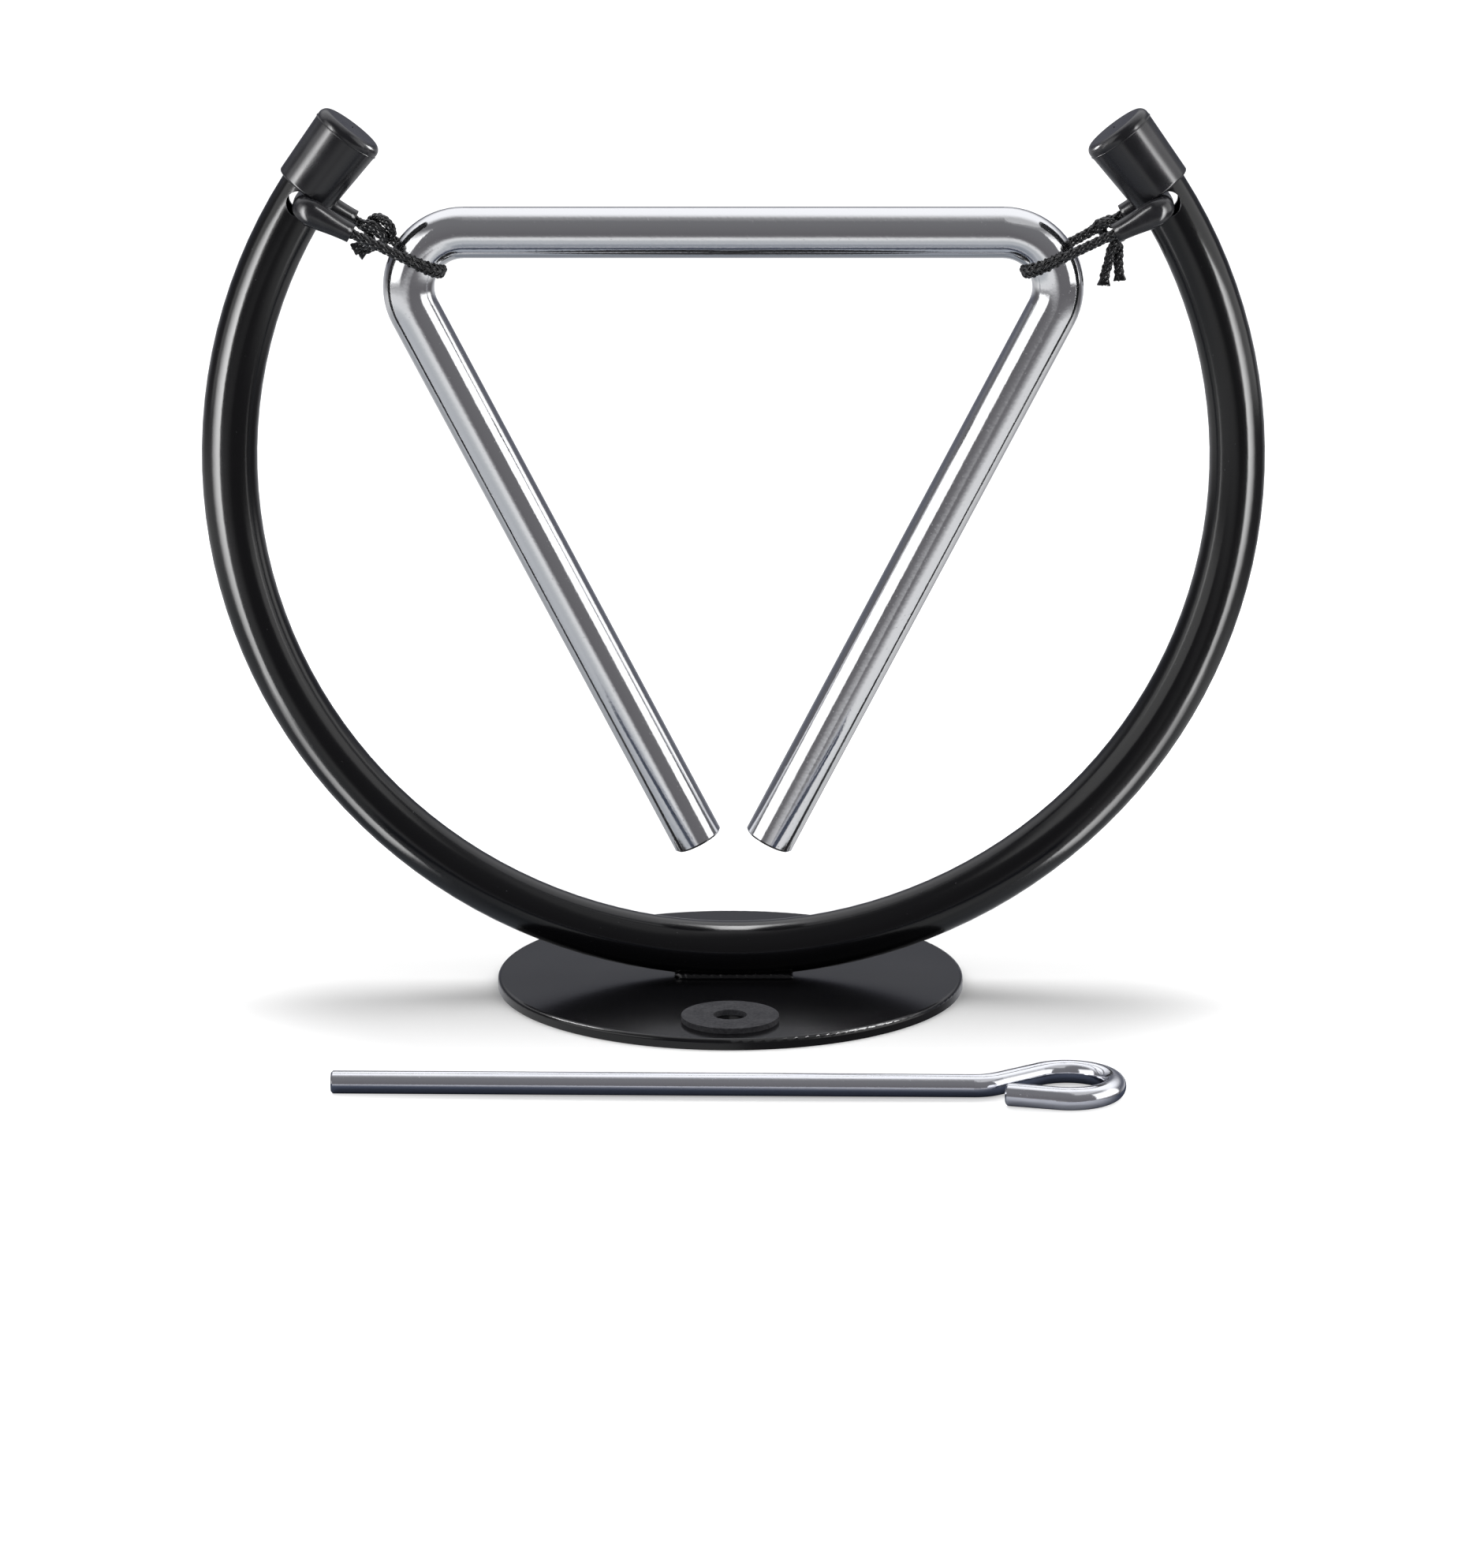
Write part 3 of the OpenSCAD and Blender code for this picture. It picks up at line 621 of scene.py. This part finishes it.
def pinch(x, y):
    """How strongly a point of the sleeve's centreline is pinched, from 1 in the middle of a
    bend to 0 at three bend radii from it."""
    bend_middle = BEND * (1 - math.cos(math.radians(45)))
    away = math.hypot(x - bend_middle, abs(y) - LEG_DEPTH + bend_middle)
    return 0 if away > 3 * BEND else math.cos(math.radians(30 * away / BEND)) ** 2


def flare(x):
    """How much wider the tubing is at a reach."""
    return (FLARE * min(max(x - FLARE_START, 0) / FLARE_RISE, 1)
            * min(max(FRONT_REACH - FLARE_END - x, 0) / FLARE_FALL, 1))


for name, side, rear_reach in (("left_sleeve", LEFT, REAR_REACH["left"]),
                               ("right_sleeve", RIGHT, REAR_REACH["right"])):
    line = sleeve_line(rear_reach, steps=22)
    last = len(line) - 1
    work = bmesh.new()
    rings = []
    # Out along the skin, with its cut edges, and back along the bore
    for i, radius in ([(i, SLEEVE_R) for i in range(last + 1)]
                      + [(i, BORE_R) for i in range(last, -1, -1)]):
        x, y = line[i]
        along = (Vector(line[min(i + 1, last)]) - Vector(line[max(i - 1, 0)])).normalized()
        wide = radius + PINCH_WIDER * pinch(x, y) + flare(x)
        deep = radius - PINCH_FLATTER * pinch(x, y)
        edge = [(0, 0)]
        if radius == SLEEVE_R and i == 0:
            edge = CUT_EDGE
        elif radius == SLEEVE_R and i == last:
            edge = [(less, -inward) for less, inward in reversed(CUT_EDGE)]
        for less, inward in edge:
            middle = Vector((x, y)) + along * inward
            ring = []
            for j in range(SLEEVE_SIDES):
                a = math.tau * j / SLEEVE_SIDES
                out = (deep - less) * math.cos(a)
                ring.append(work.verts.new((middle.x - along.y * out, middle.y + along.x * out,
                                            (wide - less) * math.sin(a))))
            rings.append(ring)
    for face in joined_rings(work, rings + rings[:1]):
        face.smooth = True
    work.transform(from_plane(side))
    bmesh.ops.recalc_face_normals(work, faces=work.faces)
    mesh = bpy.data.meshes.new(name)
    work.to_mesh(mesh)
    work.free()
    sleeve = add_object(name + "_tubing", mesh, sleeve_skin)
    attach(sleeve, "stand")
    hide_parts(name)


# Triangle: a drawn steel rod, bent twice, its ends chamfered, then bright chrome plated. The
# plating has fine pits and a few dull marks.
def chromed(name, colour, roughness):
    """Bright chrome plate over a drawn rod, with pits and faint handling marks."""
    pit_depth, duller_by = 0.8, 0.07
    made, tree, shader = material(name, colour, roughness, Metallic=1.0)
    pits = ramp(tree, noise(tree, 2300, 3.0), 0.66, 0.78)
    smudge = noise(tree, 55, 4.0)
    set_input(tree, shader, "Roughness",
              ramp(tree, smudge, 0.35, 0.75, roughness, roughness + duller_by))
    grain = calc(tree, "MULTIPLY_ADD", pits, -pit_depth, noise(tree, 1000, 2.0))
    bump(tree, shader, grain, 0.000012)
    return made


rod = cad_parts["triangle_rod"]
new_skin(rod, chromed("chrome_triangle", (0.72, 0.725, 0.74), 0.07))


# Beater: a thinner chromed rod with its end turned into a teardrop eye. It lies on the table
# in front of the plate.
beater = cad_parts["beater"]
# Its chrome is a lighter, bluer copy of the triangle's: painted light, standing in for brighter,
# bluish reflections along the beater.
new_skin(beater, chromed("chrome_beater", (0.77, 0.78, 0.82), 0.09))


# Studio: a pale table top that fades into a white background, lit softly from overhead and
# from both sides. The chrome mirrors a surround painted in the world. The black pieces show,
# only in their gloss, lamps that are kept to them.
def table(name, *rects):
    """A piece of the table top, from rectangles of (x0, y0, x1, y1)."""
    mesh = bpy.data.meshes.new(name)
    verts = [(x, y, 0) for x0, y0, x1, y1 in rects
             for x, y in ((x0, y0), (x1, y0), (x1, y1), (x0, y1))]
    mesh.from_pydata(verts, [], [tuple(range(4 * i, 4 * i + 4)) for i in range(len(rects))])
    made = add_object(name, mesh, table_skin)
    made.visible_shadow = False
    return made


table_skin, tree, shader = material("table_top", (0.75, 0.75, 0.75), 0.9)
shader.inputs["Specular IOR Level"].default_value = 0.0
shader.inputs["Emission Color"].default_value = (1, 1, 1, 1)
path = node(tree, "ShaderNodeLightPath").outputs
where = node(tree, "ShaderNodeTexCoord").outputs["Object"]
spread = node(tree, "ShaderNodeVectorMath", {0: where}, operation="LENGTH").outputs["Value"]
depth = node(tree, "ShaderNodeSeparateXYZ", {0: where}).outputs["Y"]
# Grey to the camera. In the beater it is pale in front and dark behind; the dark is painted
# shade, the beater's contact shadow on the table
seen_in_rod_with_painted_shade = mixed(tree, ramp(tree, depth, -0.097, -0.085), (0.45, 0.46, 0.50),
                    (0.06, 0.07, 0.10))
set_input(tree, shader, "Base Color", node(tree, "ShaderNodeMix", {
    0: path["Is Camera Ray"], 6: seen_in_rod_with_painted_shade, 7: (0.70, 0.70, 0.70, 1)},
    data_type="RGBA").outputs[2])
# It glows to white away from the plate and, less, towards the camera
lit = calc(tree, "ADD", ramp(tree, spread, 0.08, 0.17, 0.0, 0.95),
           ramp(tree, depth, -0.07, -0.01, 0.33, 0.0))
set_input(tree, shader, "Emission Strength", calc(tree, "MULTIPLY", path["Is Camera Ray"], lit))
# Only the patch under the beater is mirrored
FAR = 6
x0, y0, x1, y1 = patch = (-0.1, -0.11, 0.09, -0.055)
table("table_top", (-FAR, -FAR, FAR, y0), (-FAR, y0, x0, y1), (x1, y0, FAR, y1),
      (-FAR, y1, FAR, FAR)).visible_glossy = False
table("table_under_beater", patch)

world = bpy.data.worlds.new("studio")
world.use_nodes = True
scene.world = world
tree = world.node_tree
tree.nodes.clear()
path = node(tree, "ShaderNodeLightPath").outputs
way = node(tree, "ShaderNodeSeparateXYZ",
           {0: node(tree, "ShaderNodeTexCoord").outputs["Generated"]}).outputs
mirrored = calc(tree, "MAXIMUM", path["Is Glossy Ray"], path["Is Transmission Ray"])
# The room on the camera's side, from straight down at 0 to straight up at 1. Its bands lie
# lower to the right.
lean, step, dimmer = 0.075, 0.12, 0.75
level = calc(tree, "ADD", way["Z"], calc(tree, "ADD", ramp(
    tree, way["X"], -0.3, 0.3, -lean, lean), ramp(tree, way["X"], 0.06, 0.16, 0.0, step)))
front = node(tree, "ShaderNodeValToRGB", {0: calc(tree, "MULTIPLY_ADD", level, 0.5, 0.5)})
stops = front.color_ramp.elements
for place, colour in ((0.08, (0.30, 0.33, 0.37)), (0.13, (0.40, 0.42, 0.46)),
                      (0.17, (0.60, 0.62, 0.65)), (0.21, (0.55, 0.57, 0.60)),
                      (0.25, (0.62, 0.64, 0.66)), (0.295, (0.88, 0.89, 0.90)),
                      (0.345, (0.88, 0.88, 0.89)), (0.385, (0.48, 0.48, 0.49)),
                      (0.43, (0.20, 0.195, 0.205)), (0.5, (0.165, 0.16, 0.17)),
                      (0.93, (0.21, 0.21, 0.22)), (0.985, (0.36, 0.36, 0.37))):
    stops.new(place).color = (*colour, 1)
stops[0].color = (0.42, 0.45, 0.50, 1)
stops[-1].color = (0.62, 0.62, 0.63, 1)
room = vector(tree, "SCALE", front.outputs[0],
              scale=ramp(tree, way["Y"], 0.1, 0.5, 1.0, dimmer))
# The white back, brightest overhead and a trace bluish
white = calc(tree, "ADD", ramp(tree, way["Z"], 0.2, 0.65, 0.145, 1.25),
             ramp(tree, way["Z"], -0.15, 0.1, 0.4, 0.0))
back = node(tree, "ShaderNodeCombineXYZ", {
    0: white, 1: calc(tree, "ADD", white, 0.005), 2: calc(tree, "ADD", white, 0.035)})
behind = ramp(tree, calc(tree, "MULTIPLY_ADD", way["Z"], 0.6, way["Y"]), 0.34, 0.80)
shown = node(tree, "ShaderNodeMix", {0: behind, 4: room, 5: back.outputs[0]},
             data_type="VECTOR").outputs[1]
# A tall white panel on each side, by its bearing from the camera in radians and its height
panel_white, skew = 1.6, -0.2
bearing = calc(tree, "MULTIPLY_ADD", way["X"], skew, calc(
    tree, "ARCTAN2", calc(tree, "ABSOLUTE", way["X"]), calc(tree, "MULTIPLY", way["Y"], -1)))
across = calc(tree, "MULTIPLY", ramp(tree, bearing, 0.76, 0.82),
              ramp(tree, bearing, 1.72, 1.90, 1.0, 0.0))
upright = calc(tree, "MULTIPLY", ramp(tree, way["Z"], -0.12, -0.04),
               ramp(tree, way["Z"], 0.5, 0.75, 1.0, 0.0))
shown = node(tree, "ShaderNodeMix", {
    0: calc(tree, "MULTIPLY", across, upright), 4: shown, 5: (panel_white,) * 3},
    data_type="VECTOR").outputs[1]
# Plain white to the camera, and a soft light from all sides on what isn't mirrored
soft_light = 0.35
plain = calc(tree, "MULTIPLY_ADD", calc(tree, "SUBTRACT", calc(
    tree, "SUBTRACT", 1, path["Is Camera Ray"]), mirrored), soft_light, path["Is Camera Ray"])
light = vector(tree, "ADD", vector(tree, "SCALE", shown, scale=mirrored), node(
    tree, "ShaderNodeCombineXYZ", {0: plain, 1: plain, 2: plain}).outputs[0])
glow = node(tree, "ShaderNodeBackground", {"Color": light, "Strength": 1.0})
node(tree, "ShaderNodeOutputWorld", {"Surface": glow.outputs[0]})


def lit_group(name, *pieces):
    """A group of pieces that a lamp is kept to."""
    group = bpy.data.collections.new(name)
    for piece in pieces:
        group.objects.link(piece)
    return group


def lamp(name, spot, facing, size, power, roll=0, spread=180, gloss_on=None):
    """A flat lamp, its roll and spread in degrees. It lights everything and isn't mirrored,
    or else it shows only in the gloss of one group of pieces."""
    light = bpy.data.lights.new(name, "AREA")
    light.shape = "RECTANGLE"
    light.size, light.size_y = size
    light.energy = power
    light.spread = math.radians(spread)
    made = bpy.data.objects.new(name, light)
    made.location = spot
    made.rotation_euler = (Vector(facing).to_track_quat("-Z", "Y")
                           @ Quaternion((0, 0, 1), math.radians(roll))).to_euler()
    made.visible_camera = False
    made.visible_glossy = gloss_on is not None
    made.visible_diffuse = gloss_on is None
    scene.collection.objects.link(made)
    if gloss_on:
        made.light_linking.receiver_collection = gloss_on


caps = {side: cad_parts[side + "_cap"] for side in ("left", "right")}
sleeves = {side: bpy.data.objects[side + "_sleeve_tubing"] for side in caps}
cords = {side: bpy.data.objects[side + "_cord_braid"] for side in caps}
hoop_only = lit_group("hoop_only", hoop)
plate_only = lit_group("plate_only", plate)
end_pieces = lit_group("end_pieces", *caps.values(), *sleeves.values(), *cords.values())
lamp("overhead_panel", (0, 0.11, 0.30), (0, 0, -1), (0.9, 0.20), 2.2)
lamp("small_overhead", (-0.004, 0.115, 0.30), (0, -0.4, -0.9), (0.03, 0.12), 0.15,
     gloss_on=hoop_only)
# The strips differ from left to right. A sleeve lamp lights its own side's sleeve from the
# front, a cap lamp the far cap from behind, and an edge lamp the plate's rim
for name, far, out, x, y, tall in (("left", "right", -1, 0.237, -0.080, 0.25),
                                   ("right", "left", 1, 0.244, -0.073, 0.215)):
    strip_facing, strip_turn = (-0.08 * out, 0.12, 0), {"roll": -7 * out, "spread": 88}
    lamp(name + "_fill", (0.52 * out, -0.34, 0.38), (-0.52 * out, 0.34, -0.32), (0.42, 0.75), 1.2)
    lamp(name + "_strip_upper", (x * out, y, tall / 2 - 0.03), strip_facing, (0.11, tall),
         1.92 * tall, gloss_on=hoop_only, **strip_turn)
    lamp(name + "_strip_end", (x * out, y, 0.125), strip_facing, (0.11, 0.31), 0.60,
         gloss_on=end_pieces, **strip_turn)
    lamp(name + "_strip_lower", (0.217 * out, -0.080, -0.080), (-0.35 * out, 0.55, 0.76),
         (0.10, 0.13), 0.08, roll=-34 * out, spread=70, gloss_on=hoop_only)
    lamp(name + "_sleeve_lamp", (-0.18 * out, -0.38, 0.40), (0.265 * out, 0.38, -0.228),
         (0.20, 0.30), 2.2, gloss_on=lit_group(name + "_lamp_sleeve", sleeves[name]))
    lamp(name + "_edge_lamp", (0.36 * out, 0.13, 0.40), (-0.32 * out, -0.13, -0.40),
         (0.10, 0.20), 3.5, gloss_on=plate_only)
    lamp(name + "_cap_lamp", (0.30 * out, 0.17, 0.22), (-0.39 * out, -0.17, -0.03),
         (0.10, 0.12), 0.9, gloss_on=lit_group(name + "_lamp_cap", caps[far]))
